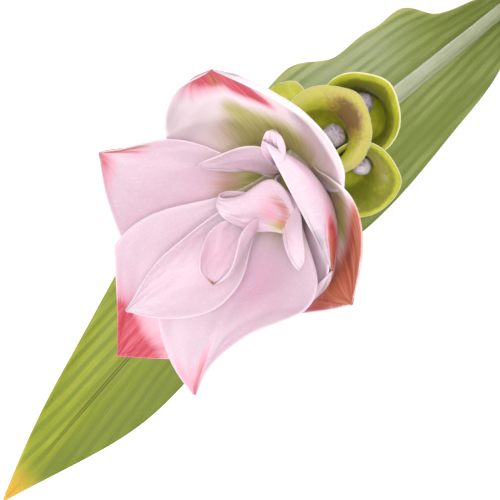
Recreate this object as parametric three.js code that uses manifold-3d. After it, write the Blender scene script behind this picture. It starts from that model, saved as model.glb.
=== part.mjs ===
// A Siam tulip growing in a plain clay pot: one flower spike on its stem, four leaves from nested
// sheaths, the soil and the pot. Millimetres, +Z up, the origin at the middle of the pot's underside.
import * as THREE from "three";
import { mergeVertices } from "three/addons/utils/BufferGeometryUtils.js";
import Module from "manifold-3d";

const wasm = await Module();
wasm.setup();

const GAP = 0.35;

// Pot
const POT_HEIGHT = 110;
const POT_FOOT_R = 44;
const POT_NECK_R = 57;
const POT_NECK_Z = 84;
const POT_RIM_R = 63;
const POT_FLOOR = 6;
const POT_INNER_FOOT_R = 40.5;
const POT_INNER_RIM_R = 57.5;
const POT_EDGE = 2;
const POT_LIP_R = 58.7;
const POT_SIDES = 44;

// Soil, with the plain hole that the plant stands in
const SOIL_Z = 95;
const SOIL_ROUGH = 1.1;
const SOIL_RINGS = 5;
const SOIL_FLAT_EDGE = 6;
const HOLE_R = 12.4;
const HOLE_FLOOR = 76.6;

// Stem and spike
const STEM_FOOT_Z = 77;
const STEM_TOP_Z = 440;
const STEM_R = 3.2;
const STEM_HEAD_Z = 340;
const STEM_HEAD_LONG = 60;
const STEM_SOCKET = 30;
const STEM_STEPS = 18;
const STEM_QUARTERS = 6;
const SPIKE_Z = 438;
const SPIKE_TILT = 2;
const RACHIS_R = 4.6;
const RACHIS_FOOT = -6;
const RACHIS_TOP = 46;
const CORE_TOP = 84;
const PLUG_R = 2.5;
const PLUG_DEPTH = 6;
const SPIKE_SIDES = 12;

// Sheets: their thickness, the least half width, the columns on each side of the middle line, the
// rows of a bract, and the finest detail kept in the fused green body
const BRACT_THICK = 1.0;
const CUP_THICK = 1.1;
const LEAF_THICK = 1.0;
const LEAST_HALF_WIDTH = 0.5;
const SHEET_COLUMNS = 4;
const BRACT_ROWS = 8;
const FINEST = 0.05;

// Cups: the foot's radius, the place of its centre, the wall's share of the length, how short the lip
// is on the axis side, the pointed tip, and the small waves of the lip
const CUP_FOOT_R = 0.3;
const CUP_ROOT = 4.2;
const CUP_WALL = 0.62;
const CUP_LIP = 0.35;
const CUP_LIP_EASE = 0.7;
const CUP_TIP = 1.3;
const CUP_TIP_HALF_TURN = 0.32;
const CUP_THREE_WAVES = 0.5;
const CUP_FIVE_WAVES = 0.35;
const ROLLED_LIP = [0, 30, 62, 84, 80, 26, -60];
const DEEP_BOWL = [0, 30, 58, 76, 80, 66, 10];
const OPEN_BOWL = [0, 28, 52, 68, 68, 44, -15];
const CUP_SIDES = 14;
const CUP_ROWS = 7;

// Buds: the stalk's radius, and how far its foot stands towards the bud's place
const STALK_R = 1.2;
const STALK_FROM = 0.55;
const STALK_SUNK = 1.0;

const RAD = Math.PI / 180;

function smooth(from, to, x) {
  const t = Math.min(Math.max((x - from) / (to - from), 0), 1);
  return t * t * (3 - 2 * t);
}

// A smooth run through evenly spaced values, read at v from 0 to 1.
function mix(values, v) {
  const last = values.length - 1;
  const t = Math.min(Math.max(v, 0), 1) * last;
  const i = Math.min(Math.floor(t), last - 1);
  const f = t - i;
  const p1 = values[i];
  const p2 = values[i + 1];
  const p0 = i > 0 ? values[i - 1] : 2 * p1 - p2;
  const p3 = i < last - 1 ? values[i + 2] : 2 * p2 - p1;
  const h = f * f;
  return ((2 * f - 3) * h + 1) * p1 + ((f - 2) * h + f) * (p2 - p0) / 2
    + (3 - 2 * f) * h * p2 + (f - 1) * h * (p3 - p1) / 2;
}

// A run through [place, value] pairs with an easy turn at each of them.
function easedSteps(pairs, v) {
  let i = pairs.length - 2;
  while (i > 0 && pairs[i][0] > v) i -= 1;
  const [from, first] = pairs[i];
  const [to, next] = pairs[i + 1];
  return first + (next - first) * smooth(from, to, v);
}

// Half the width of a sheet: widening to its widest place, then rounding in to its point.
function halfWidth(b, v) {
  if (b.half) return Math.max(mix(b.half, v), LEAST_HALF_WIDTH);
  const t = Math.min(v / b.widest, 1);
  const low = b.base + (1 - b.base) * t * t * (3 - 2 * t);
  const past = Math.min(Math.max((v - b.widest) / (1 - b.widest), 0), 1);
  const high = Math.max(1 - past ** b.full, 0) ** b.point;
  return Math.max(b.wide / 2 * (v < b.widest ? low : high), LEAST_HALF_WIDTH);
}

// Points of a bract or leaf that grows from the upright axis at azimuth az and leans away from it.
// Its middle line follows the leans, and its cross-section is an arc that turns by the rolls.
function sheetPoints(b, across, along) {
  const radial = new THREE.Vector3(Math.cos(b.az * RAD), Math.sin(b.az * RAD), 0);
  const around = new THREE.Vector3(-Math.sin(b.az * RAD), Math.cos(b.az * RAD), 0);
  const up = new THREE.Vector3(0, 0, 1);
  const frame = (v) => {
    const lean = mix(b.lean, v) * RAD;
    const drift = mix(b.drift ?? [0, 0], v) * RAD;
    const out = radial.clone().multiplyScalar(Math.cos(drift)).addScaledVector(around, Math.sin(drift));
    const side = around.clone().multiplyScalar(Math.cos(drift)).addScaledVector(radial, -Math.sin(drift));
    return {
      ahead: up.clone().multiplyScalar(Math.cos(lean)).addScaledVector(out, Math.sin(lean)),
      inward: up.clone().multiplyScalar(Math.sin(lean)).addScaledVector(out, -Math.cos(lean)),
      side,
    };
  };
  const middle = radial.clone().multiplyScalar(b.root).addScaledVector(up, b.rise);
  const rows = [];
  let now = frame(0);
  for (let i = 0; i <= along; i++) {
    const v = i / along;
    if (i > 0) {
      const next = frame(v);
      middle.addScaledVector(now.ahead, b.long / along / 2).addScaledVector(next.ahead, b.long / along / 2);
      now = next;
    }
    const half = halfWidth(b, v);
    const roll = mix(b.roll, v) * RAD;
    const skew = mix(b.skew ?? [0, 0], v);
    const margin = easedSteps(b.margin ?? [[0, 0], [1, 0]], v);
    const row = new Array(2 * across + 1);
    for (const hand of [-1, 1]) {
      const step = (half * (1 + hand * skew) + (hand < 0 ? margin : 0)) / across;
      let x = 0;
      let y = 0;
      for (let j = 0; j <= across; j++) {
        if (j > 0) {
          const angle = roll / 2 * (j - 0.5) / across;
          x += Math.cos(angle) * step;
          y += Math.sin(angle) * step;
        }
        row[across + hand * j] = middle.clone()
          .addScaledVector(now.side, hand * x).addScaledVector(now.inward, y);
      }
    }
    rows.push(row);
  }
  return rows;
}

function toGeometry(positions, index) {
  const geometry = new THREE.BufferGeometry();
  geometry.setAttribute("position", new THREE.Float32BufferAttribute(positions, 3));
  geometry.setIndex(index);
  return geometry;
}

// A closed blade of even thickness on a grid of points, split into triangles alike on both faces.
function blade(rows, thick) {
  const n = rows.length;
  const m = rows[0].length;
  const positions = [];
  for (const hand of [1, -1]) {
    for (let i = 0; i < n; i++) {
      for (let j = 0; j < m; j++) {
        const along = rows[Math.min(i + 1, n - 1)][j].clone().sub(rows[Math.max(i - 1, 0)][j]);
        const across = rows[i][Math.min(j + 1, m - 1)].clone().sub(rows[i][Math.max(j - 1, 0)]);
        const normal = across.cross(along).normalize();
        const p = rows[i][j].clone().addScaledVector(normal, hand * thick / 2);
        positions.push(p.x, p.y, p.z);
      }
    }
  }
  const index = [];
  const at = (i, j, low) => i * m + j + (low ? n * m : 0);
  for (let i = 0; i < n - 1; i++) {
    for (let j = 0; j < m - 1; j++) {
      const [a, b, c, d] = [[i, j], [i, j + 1], [i + 1, j + 1], [i + 1, j]];
      index.push(at(...a), at(...b), at(...c), at(...a), at(...c), at(...d));
      index.push(at(...a, 1), at(...c, 1), at(...b, 1), at(...a, 1), at(...d, 1), at(...c, 1));
    }
  }
  const border = [];
  for (let j = 0; j < m - 1; j++) border.push([0, j]);
  for (let i = 0; i < n - 1; i++) border.push([i, m - 1]);
  for (let j = m - 1; j > 0; j--) border.push([n - 1, j]);
  for (let i = n - 1; i > 0; i--) border.push([i, 0]);
  border.forEach((a, k) => {
    const b = border[(k + 1) % border.length];
    index.push(at(...a), at(...a, 1), at(...b, 1), at(...a), at(...b, 1), at(...b));
  });
  return toGeometry(positions, index);
}

function solid(geometry) {
  const bare = geometry.clone();
  bare.deleteAttribute("normal");
  bare.deleteAttribute("uv");
  const merged = mergeVertices(bare, 1e-4);
  return new wasm.Manifold(new wasm.Mesh({
    numProp: 3,
    vertProperties: new Float32Array(merged.attributes.position.array),
    triVerts: new Uint32Array(merged.index.array),
  }));
}

function fuse(solids) {
  return solids.reduce((whole, piece) => whole.add(piece));
}

// The largest body of a solid, without loose scraps and with any sealed hollow filled.
function largest(whole) {
  return whole.decompose().sort((a, b) => b.volume() - a.volume())[0];
}

function fromSolid(whole) {
  const mesh = whole.getMesh();
  return toGeometry(Array.from(mesh.vertProperties), Array.from(mesh.triVerts));
}

// A turned form about +Z from [radius, height] pairs.
function turned(profile, sides) {
  const geometry = new THREE.LatheGeometry(profile.map(([r, z]) => new THREE.Vector2(r, z)), sides);
  geometry.rotateX(Math.PI / 2);
  geometry.rotateZ(Math.PI / sides);
  return geometry;
}

function place(parent, name, geometry, look) {
  const shape = geometry.index && !geometry.attributes.uv ? geometry.toNonIndexed() : geometry;
  const mesh = new THREE.Mesh(shape, new THREE.MeshStandardMaterial({ metalness: 0, ...look }));
  mesh.name = name;
  parent.add(mesh);
  return mesh;
}

const plant = new THREE.Group();

// Pot: a tapered wall with a thick rolled rim and a closed flat foot
const potProfile = [
  [0, 0], [POT_FOOT_R - POT_EDGE, 0], [POT_FOOT_R, POT_EDGE], [POT_NECK_R, POT_NECK_Z],
  [POT_RIM_R - POT_EDGE / 2, POT_NECK_Z + POT_EDGE], [POT_RIM_R, POT_HEIGHT - POT_EDGE],
  [POT_RIM_R - POT_EDGE, POT_HEIGHT], [POT_LIP_R, POT_HEIGHT], [POT_INNER_RIM_R, POT_HEIGHT - POT_EDGE],
  [POT_INNER_FOOT_R, POT_FLOOR + POT_EDGE], [POT_INNER_FOOT_R - POT_EDGE, POT_FLOOR], [0, POT_FLOOR],
];
place(plant, "pot", turned(potProfile, POT_SIDES), { color: 0xb5694a, roughness: 0.85 });

// Soil: fills the pot to below its rim, with a crumbly top
const innerFoot = POT_FLOOR + POT_EDGE;
const innerSlope = (POT_INNER_RIM_R - POT_INNER_FOOT_R) / (POT_HEIGHT - POT_EDGE - innerFoot);
const innerRadius = (z) => POT_INNER_FOOT_R + innerSlope * (z - innerFoot);
const soilEdge = innerRadius(SOIL_Z) - GAP;
const soilProfile = [
  [0, POT_FLOOR + GAP], [POT_INNER_FOOT_R - POT_EDGE - 2 * GAP, POT_FLOOR + GAP],
  [POT_INNER_FOOT_R - GAP, innerFoot + GAP], [soilEdge, SOIL_Z],
];
for (let i = 1; i <= SOIL_RINGS; i++) {
  soilProfile.push([soilEdge + (HOLE_R - soilEdge) * i / SOIL_RINGS, SOIL_Z]);
}
soilProfile.push([HOLE_R, HOLE_FLOOR], [0, HOLE_FLOOR]);
const soil = turned(soilProfile, POT_SIDES);
const soilPoints = soil.attributes.position;
for (let i = 0; i < soilPoints.count; i++) {
  const [x, y, z] = [soilPoints.getX(i), soilPoints.getY(i), soilPoints.getZ(i)];
  const r = Math.hypot(x, y);
  const inside = Math.min(Math.max(Math.min(soilEdge - r, r - HOLE_R) / SOIL_FLAT_EDGE, 0), 1);
  if (z > SOIL_Z - 1) {
    const broad = Math.sin(x * 0.31 + y * 0.17) * Math.cos(y * 0.37 - x * 0.11);
    const fine = 0.5 * Math.sin(x * 0.71 - y * 0.53);
    soilPoints.setZ(i, z + SOIL_ROUGH * (broad + fine) * inside);
  }
}
place(plant, "soil", soil, { color: 0x3b2a1e, roughness: 0.95 });

// Stem: round and straight, from the soil up into the spike, turned back a little at its head
class StemLine extends THREE.Curve {
  getPoint(t, target = new THREE.Vector3()) {
    const z = STEM_FOOT_Z + (STEM_TOP_Z - STEM_FOOT_Z) * t;
    const turned = Math.min(Math.max((z - STEM_HEAD_Z) / STEM_HEAD_LONG, 0), 1);
    return target.set(0, (z - SPIKE_Z) * Math.tan(SPIKE_TILT * RAD) * turned, z);
  }
}
const stemCircle = new THREE.Shape();
stemCircle.absarc(0, 0, STEM_R, 0, 2 * Math.PI);
const stem = new THREE.ExtrudeGeometry(stemCircle, {
  curveSegments: STEM_QUARTERS,
  steps: STEM_STEPS,
  extrudePath: new StemLine(),
});
place(plant, "scape", stem, { color: 0xa9b88a, roughness: 0.5 });

// Leaves: a sheath wrapped round the stem, a channelled stalk and a long arching blade
const leaves = {
  leaf_1: {
    az: 90, rise: 77, root: 5, long: 540, rows: 26,
    half: [13, 12, 7.5, 15, 29.5, 36.5, 29.5, 20, 0.6],
    lean: [0, 0, 3, 8, 18, 34, 46, 53, 67], roll: [300, 280, 180, 110, 70, 50, 40, 40, 40],
    drift: [0, 0, 0, 0, 1, 0, 7.5, 9.5, 7], skew: [0, 0, 0, 0.1, -0.05, -0.08, -0.11, 0.09, 0],
    margin: [
      [0, 0], [0.36, 0], [0.39, 0.5], [0.445, -1.7], [0.477, 4.3], [0.515, -0.5], [0.56, -4.2],
      [0.6, 2.8], [0.64, 0], [1, 0],
    ],
  },
  leaf_2: {
    az: 205, rise: 77, root: 7, long: 410, rows: 15, half: [18.3, 16, 10, 17, 25, 28, 25, 16, 0.6],
    lean: [0, 0, 9, 24, 38, 52, 64, 74, 82], roll: [300, 260, 150, 90, 60, 45, 40, 40, 40],
    drift: [0, 0, -6, -10],
  },
  leaf_3: {
    az: 335, rise: 77, root: 9, long: 360, rows: 13, half: [23.5, 19, 11, 18, 25, 27, 24, 15, 0.6],
    lean: [0, 0, 15, 32, 46, 60, 72, 80, 86], roll: [300, 240, 140, 80, 60, 45, 40, 40, 40],
    drift: [0, 0, 6, 12],
  },
  leaf_4: {
    az: 262, rise: 77, root: 11, long: 250, rows: 9, half: [28.8, 22, 12, 15, 20, 22, 20, 13, 0.6],
    lean: [0, 0, 20, 36, 50, 62, 72, 80, 86], roll: [300, 230, 130, 80, 60, 45, 40, 40, 40],
    drift: [0, 0, 4, 8],
  },
};
for (const [name, leaf] of Object.entries(leaves)) {
  const points = sheetPoints(leaf, SHEET_COLUMNS, leaf.rows);
  place(plant, name, blade(points, LEAF_THICK), { color: 0x5f7f2a, roughness: 0.5 });
}

// Spike: its own frame, tilted back a little at the head of the stem
const spike = new THREE.Group();
spike.position.set(0, 0, SPIKE_Z);
spike.rotation.x = -SPIKE_TILT * RAD;
plant.add(spike);

// Pink bracts of the crown, from the outer ones in to the heart
const crown = {
  top: {
    az: 313, rise: 55, root: 4, long: 61, wide: 68, lean: [28, 53, 43, 50],
    roll: [146, 122, 97, 86], skew: [0.2, -0.05, -0.27], drift: [-8, 3, 11], widest: 0.51,
    full: 2.2, point: 0.34, base: 0.3,
  },
  left: {
    az: 23, rise: 58, root: 4, long: 60, wide: 54, lean: [25, 45, 52, 57], roll: [170, 110, 82, 90],
    skew: [0.35, 0.5, 0.5], widest: 0.57, full: 1.7, point: 0.85, base: 0.3,
  },
  low: {
    az: 97, rise: 62, root: 4, long: 75, wide: 48, lean: [23, 41, 50, 55], roll: [140, 90, 55, 60],
    skew: [0, -0.08, 0.2], drift: [0, -3, 2], widest: 0.67, full: 1.05, point: 1, base: 0.35,
  },
  bottom: {
    az: 127, rise: 64, root: 4, long: 69, wide: 46, lean: [22, 40, 50, 52], roll: [150, 97, 85, 90],
    skew: [0, 0.5, -0.25, -0.6], drift: [0, -5, 9], widest: 0.48, full: 1.1, point: 0.85, base: 0.3,
  },
  pale: {
    az: 162, rise: 53.6, root: 4, long: 47.1, wide: 32.2, lean: [18, 23.6, 52, 43],
    roll: [150, 112, 105, 50], skew: [-0.08, 0.6, 0.5], drift: [-7, 9.8, -9.9], widest: 0.63,
    full: 2.6, point: 0.89, base: 0.3,
  },
  right: {
    az: 200, rise: 50, root: 4, long: 57, wide: 54, lean: [22, 39, 46, 40],
    roll: [150, 111, 77, 65], skew: [0, 0, 0.15], drift: [1, 2, -8], widest: 0.66, full: 2.2,
    point: 0.95, base: 0.3,
  },
  strap: {
    az: 212, rise: 52, root: 4, long: 48.6, wide: 67, lean: [6, 47, 41, 10],
    roll: [178, 186, 148, 128], skew: [0.47, 0.54, 0.27, 0.36], drift: [-26.7, -4.5, 5.9],
    widest: 0.89, full: 3.6, point: 0.6, base: 0.3,
  },
  cradle: {
    az: 85, rise: 71, root: 4, long: 56, wide: 27, lean: [16, 34, 45, 40],
    roll: [187, 160, 109, 61], skew: [-0.1, 0.3, 0.45], drift: [2, 3, -7], widest: 0.5, full: 2,
    point: 1, base: 0.3,
  },
  heart: {
    az: 131, rise: 81, root: 3, long: 29, wide: 22, lean: [4, 11, 25, 28],
    roll: [240, 202, 190, 157], skew: [0, 0.15, 0.2, -0.05], drift: [-1, 9, 4], widest: 0.58,
    full: 2.6, point: 0.5, base: 0.4,
  },
  hood: {
    az: 5, rise: 66, root: 3, long: 53, half: [2.2, 2.5, 1.6, 1.6, 4.8, 9, 3],
    lean: [-11, 8, 42, -77, -117, -100], roll: [121, 62, 56, 116, 84, 72], skew: [0.1, -0.26, -0.6],
    drift: [-17, 26, 15], rows: 11,
  },
  tongue: {
    az: -4, rise: 62, root: 3, long: 46.7, wide: 8.7, lean: [-10, -15, -53, -37.5, -81],
    roll: [150, 80, 59, 75, 33], skew: [0.13, -0.75, -0.52], drift: [56, 8.7], widest: 0.7,
    full: 2.5, point: 0.42, base: 0.6,
  },
  strip: {
    az: 329, rise: 58, root: 4, long: 38, wide: 13, lean: [-1, 27, 38, 35],
    roll: [152, 143, 46, 13], drift: [0, 33, 51], skew: [0.2, -0.9, -0.37], widest: 0.54, full: 2.3,
    point: 1, base: 0.6,
  },
  curl: {
    az: 286.5, rise: 61.7, root: 4, long: 46.1, wide: 9.3, lean: [20.8, 45.1, 40.1, 70.3],
    roll: [140, 134, 170, 58], drift: [5, -2.8, 17.1], skew: [0, 0, -0.21], widest: 0.66, full: 3.1,
    point: 0.35, base: 0.8,
  },
};
const coreProfile = (grow) => [
  [0, RACHIS_TOP + GAP - PLUG_DEPTH - grow], [PLUG_R + grow, RACHIS_TOP + GAP - PLUG_DEPTH - grow],
  [PLUG_R + grow, RACHIS_TOP + GAP - grow], [RACHIS_R + grow, RACHIS_TOP + GAP - grow],
  [RACHIS_R + grow, CORE_TOP - 14], [2.6 + grow, CORE_TOP - 1], [0, CORE_TOP],
];
// The crown as one body, or with every bract wider, thicker and longer at its root by a clearance.
function crownSolid(grow) {
  const bracts = Object.values(crown).map((b) => {
    const k = 1 + 4 * grow / (b.wide ?? 2 * Math.max(...b.half));
    const wider = { ...b, roll: b.roll.map((turn) => turn * k) };
    if (b.half) wider.half = b.half.map((half) => half * k);
    else wider.wide = b.wide * k;
    wider.rise -= grow * Math.cos(b.lean[0] * RAD);
    wider.root -= grow * Math.sin(b.lean[0] * RAD);
    wider.long += grow;
    return solid(blade(sheetPoints(wider, SHEET_COLUMNS, b.rows ?? BRACT_ROWS), BRACT_THICK + 2 * grow));
  });
  return largest(fuse([solid(turned(coreProfile(grow), SPIKE_SIDES)), ...bracts]));
}
const coma = crownSolid(0);
place(spike, "coma", fromSolid(coma), { color: 0xeec8d8, roughness: 0.5 });

// Green cups: deep bowls with rolled-out lips, which open up and away from the spike's axis.
// A bud's place is [towards the cup's tip, to its side, up out of it] from the cup's foot.
const cups = {
  cup_1: {
    az: 316, rise: 41.5, face: 277, lean: 37, long: 29, near: 0.36, turn: ROLLED_LIP, bud: 4.1,
    budAt: [4, -2, 9],
  },
  cup_2: {
    az: 289, rise: 16, face: 274, lean: 24, long: 30.3, near: 0.36, turn: DEEP_BOWL, bud: 3.8,
    budAt: [5.5, 2.5, 9.5],
  },
  cup_3: {
    az: 183.5, rise: 36, face: 216, lean: 34, long: 24.8, near: 0.5, turn: OPEN_BOWL, bud: 3.2,
    budAt: [6, 2.5, 9],
  },
  cup_4: {
    az: 20, rise: 32, face: 5, lean: 40, long: 28.5, near: 0.45, turn: ROLLED_LIP, bud: 3.5,
    budAt: [3, 0, 8],
  },
  cup_5: { az: 105, rise: 31, face: 100, lean: 40, long: 27, near: 0.45, turn: ROLLED_LIP },
  cup_6: { az: 40, rise: 10, face: 44, lean: 38, long: 25, near: 0.45, turn: ROLLED_LIP },
  cup_7: { az: 135, rise: 12, face: 138, lean: 38, long: 25, near: 0.45, turn: ROLLED_LIP },
};

// The cup's lowest point, the direction of its tip, its side and its opening direction.
function cupFrame(c) {
  const lean = c.lean * RAD;
  const out = new THREE.Vector3(Math.cos(c.face * RAD), Math.sin(c.face * RAD), 0);
  const up = new THREE.Vector3(0, 0, 1);
  const opening = up.clone().multiplyScalar(Math.cos(lean)).addScaledVector(out, Math.sin(lean));
  const tip = out.clone().multiplyScalar(Math.cos(lean)).addScaledVector(up, -Math.sin(lean));
  const foot = new THREE.Vector3(CUP_ROOT * Math.cos(c.az * RAD), CUP_ROOT * Math.sin(c.az * RAD), c.rise);
  return { foot, tip, side: opening.clone().cross(tip), opening };
}

// Rings of points of a cup, from its foot out to its lip.
function cupRings(c, around, along) {
  const { foot, tip, side, opening } = cupFrame(c);
  const rings = Array.from({ length: along + 1 }, () => []);
  for (let j = 0; j < around; j++) {
    const phi = 2 * Math.PI * j / around;
    const outer = (1 + Math.cos(phi)) / 2;
    const near = Math.min(phi, 2 * Math.PI - phi);
    let r = CUP_FOOT_R;
    let z = 0;
    for (let i = 0; i <= along; i++) {
      const s = i / along;
      if (i > 0) {
        const middle = (i - 0.5) / along;
        const lipStep = CUP_LIP + (1 - CUP_LIP) * outer ** CUP_LIP_EASE;
        const step = c.long / along * (middle < CUP_WALL ? 1 : lipStep);
        const turn = mix(c.turn, middle) * RAD;
        r += Math.cos(turn) * step;
        z += Math.sin(turn) * step;
      }
      const reach = r * (1 - c.near * (1 - outer) ** 2)
        + CUP_TIP * Math.exp(-((near / CUP_TIP_HALF_TURN) ** 2)) * smooth(0.7, 1, s);
      const wave = CUP_THREE_WAVES * Math.sin(3 * phi + c.az) + CUP_FIVE_WAVES * Math.sin(5 * phi + c.rise);
      rings[i].push(foot.clone()
        .addScaledVector(tip, reach * Math.cos(phi))
        .addScaledVector(side, reach * Math.sin(phi))
        .addScaledVector(opening, z + wave * smooth(0.5, 1, s)));
    }
  }
  return rings;
}

// A closed bowl of even thickness on rings of points.
function bowl(rings, thick) {
  const n = rings.length;
  const m = rings[0].length;
  const positions = [];
  for (const hand of [1, -1]) {
    for (let i = 0; i < n; i++) {
      for (let j = 0; j < m; j++) {
        const along = rings[Math.min(i + 1, n - 1)][j].clone().sub(rings[Math.max(i - 1, 0)][j]);
        const across = rings[i][(j + 1) % m].clone().sub(rings[i][(j + m - 1) % m]);
        const normal = across.cross(along).normalize();
        const p = rings[i][j].clone().addScaledVector(normal, hand * thick / 2);
        positions.push(p.x, p.y, p.z);
      }
    }
  }
  const index = [];
  const at = (i, j, low) => i * m + (j % m) + (low ? n * m : 0);
  for (let j = 0; j < m; j++) {
    for (let i = 0; i < n - 1; i++) {
      const [a, b, c, d] = [[i, j], [i, j + 1], [i + 1, j + 1], [i + 1, j]];
      index.push(at(...a), at(...b), at(...c), at(...a), at(...c), at(...d));
      index.push(at(...a, 1), at(...c, 1), at(...b, 1), at(...a, 1), at(...d, 1), at(...c, 1));
    }
    index.push(at(n - 1, j), at(n - 1, j + 1), at(n - 1, j + 1, 1));
    index.push(at(n - 1, j), at(n - 1, j + 1, 1), at(n - 1, j, 1));
    if (j > 0 && j < m - 1) {
      index.push(at(0, 0), at(0, j + 1), at(0, j));
      index.push(at(0, 0, 1), at(0, j, 1), at(0, j + 1, 1));
    }
  }
  return toGeometry(positions, index);
}

// Small flower buds, one in each of four cups, on a short stalk that stands in the cup's foot.
// The belly's outline is [part of its radius, height in radii] from the stalk up.
const BUD_OUTLINE = [[0.62, -0.72], [0.93, -0.35], [1, 0], [0.93, 0.45], [0.66, 0.85]];
const BUD_TOP = 1.1;
function budGeometry(c, grow) {
  const { foot, tip, side, opening } = cupFrame(c);
  const [out, across, up] = c.budAt;
  const aside = tip.clone().multiplyScalar(out).addScaledVector(side, across);
  const base = foot.clone().addScaledVector(aside, STALK_FROM);
  const belly = foot.clone().add(aside).addScaledVector(opening, up).sub(base);
  const height = belly.length();
  const r = c.bud + grow;
  const profile = [
    [0, -STALK_SUNK - grow], [STALK_R + grow, -STALK_SUNK - grow], [STALK_R + grow, height - c.bud * 0.95],
    ...BUD_OUTLINE.map(([k, h]) => [r * k, height + r * h]), [0, height + r * BUD_TOP],
  ];
  const axis = belly.clone().normalize();
  const level = tip.clone().addScaledVector(axis, -tip.dot(axis)).normalize();
  const turn = new THREE.Matrix4().makeBasis(level, axis.clone().cross(level), axis).setPosition(base);
  return turned(profile, SPIKE_SIDES).applyMatrix4(turn);
}
const buds = Object.values(cups).filter((c) => c.bud);
buds.forEach((c, i) => {
  place(spike, `bud_${i + 1}`, budGeometry(c, 0), { color: 0xb9a8c4, roughness: 0.45 });
});

const rachisProfile = [
  [0, RACHIS_FOOT], [RACHIS_R - 0.5, RACHIS_FOOT], [RACHIS_R, RACHIS_FOOT + 3], [RACHIS_R, RACHIS_TOP],
  [0, RACHIS_TOP],
];
const socketCircle = new THREE.Shape();
socketCircle.absarc(0, 0, STEM_R + GAP, 0, 2 * Math.PI);
const socket = new THREE.ExtrudeGeometry(socketCircle, {
  curveSegments: STEM_QUARTERS,
  steps: 1,
  depth: STEM_SOCKET,
});
socket.translate(0, 0, STEM_TOP_Z + GAP - SPIKE_Z - STEM_SOCKET);
let green = fuse([
  solid(turned(rachisProfile, SPIKE_SIDES)),
  ...Object.values(cups).map((c) => solid(bowl(cupRings(c, CUP_SIDES, CUP_ROWS), CUP_THICK))),
]);
for (const tool of [solid(socket), crownSolid(GAP), ...buds.map((c) => solid(budGeometry(c, GAP)))]) {
  green = green.subtract(tool);
}
const greenBody = largest(green).simplify(FINEST);
place(spike, "green_bracts", fromSolid(greenBody), { color: 0x8a9a35, roughness: 0.45 });

export default plant;
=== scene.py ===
import math

import bpy
import numpy as np
from mathutils import Matrix, Vector


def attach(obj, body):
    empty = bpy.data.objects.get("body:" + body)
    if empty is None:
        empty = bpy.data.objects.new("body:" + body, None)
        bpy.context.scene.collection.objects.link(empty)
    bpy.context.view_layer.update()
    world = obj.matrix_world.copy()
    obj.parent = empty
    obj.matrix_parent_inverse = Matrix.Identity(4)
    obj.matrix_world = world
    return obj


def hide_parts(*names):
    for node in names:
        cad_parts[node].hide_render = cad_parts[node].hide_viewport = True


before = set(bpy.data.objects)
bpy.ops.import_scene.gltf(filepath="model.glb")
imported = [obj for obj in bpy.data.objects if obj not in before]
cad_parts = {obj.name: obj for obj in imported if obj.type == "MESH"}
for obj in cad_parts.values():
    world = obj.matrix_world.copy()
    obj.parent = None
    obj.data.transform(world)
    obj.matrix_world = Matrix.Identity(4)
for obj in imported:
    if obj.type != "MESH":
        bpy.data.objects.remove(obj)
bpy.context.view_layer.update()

# Lengths are in millimetres and angles in degrees until a mesh or the camera is made
MM = 0.001
RAD = math.pi / 180
TURN_ROUND = 2 * math.pi
UP = np.array([0.0, 0.0, 1.0])

# The spike's foot on the stem, and its tilt there
SPIKE_Z = 438.0
SPIKE_TILT = 2.0


# Curves and small surface waves

def along_curve(values, v):
    """A smooth run through evenly spaced values, read at v from 0 to 1."""
    values = np.asarray(values, float)
    last = len(values) - 1
    t = np.clip(v, 0, 1) * last
    i = np.minimum(t.astype(int), last - 1)
    f = t - i
    p1 = values[i]
    p2 = values[i + 1]
    p0 = np.where(i > 0, values[np.maximum(i - 1, 0)], 2 * p1 - p2)
    p3 = np.where(i < last - 1, values[np.minimum(i + 2, last)], 2 * p2 - p1)
    h = f * f
    rise = ((2 * f - 3) * h + 1) * p1 + ((f - 2) * h + f) * (p2 - p0) / 2
    return rise + (3 - 2 * f) * h * p2 + (f - 1) * h * (p3 - p1) / 2


def smooth(a, b, x):
    """From 0 at a to 1 at b, eased at both ends."""
    t = np.clip((np.asarray(x, float) - a) / (b - a), 0, 1)
    return t * t * (3 - 2 * t)


def eased_steps(pairs, v):
    """A run through (place, value) pairs with an easy turn at each of them."""
    places = np.array([p[0] for p in pairs], float)
    values = np.array([p[1] for p in pairs], float)
    i = np.clip(np.searchsorted(places, v, side="right") - 1, 0, len(places) - 2)
    t = np.clip((v - places[i]) / (places[i + 1] - places[i]), 0, 1)
    return values[i] + (values[i + 1] - values[i]) * t * t * (3 - 2 * t)


RIPPLE_SIZES = (1.0, 1.9, 3.1)
RIPPLE_PEAK = 1.85


def ripple(x, y, seed):
    """Soft waves of mixed lengths, about -1 to 1."""
    rng = np.random.default_rng(seed)
    total = np.zeros_like(x)
    for k in RIPPLE_SIZES:
        a, b, c, d = rng.uniform(0, TURN_ROUND, 4)
        first = np.sin(k * x * 2.1 + a + 0.7 * np.sin(y * k + b))
        second = np.cos(k * y * 1.7 + c + 0.5 * np.sin(x * k + d))
        total += first * second / k
    return total / RIPPLE_PEAK


def circle(sides):
    """Angles in radians, evenly spaced round a circle."""
    return np.linspace(0, TURN_ROUND, sides, endpoint=False)


def unit(azimuth):
    """A level direction at an azimuth in degrees."""
    return np.array([math.cos(azimuth * RAD), math.sin(azimuth * RAD), 0.0])


# Blades: bracts and leaves are sheets that lean along their length and roll across it.
# A blade's foot is at azimuth az, height rise and distance root. Along its length, lean is its
# angle from upright, drift its turn to the side and roll the angle that it curls through across.
# skew widens one side and narrows the other, and margin adds to one side alone.
# Its outline is a list of half widths, or wide (its width) at widest (the place), base (the
# share left at the foot) and full and point (how round and how sharp it closes at the tip).

THINNEST_HALF_WIDTH = 0.35
# Thickness at the margin and at the tip, as shares of the full one, and the length of its taper
MARGIN_THICKNESS = 0.35
TIP_THICKNESS = 0.6
TAPER = 0.1
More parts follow.
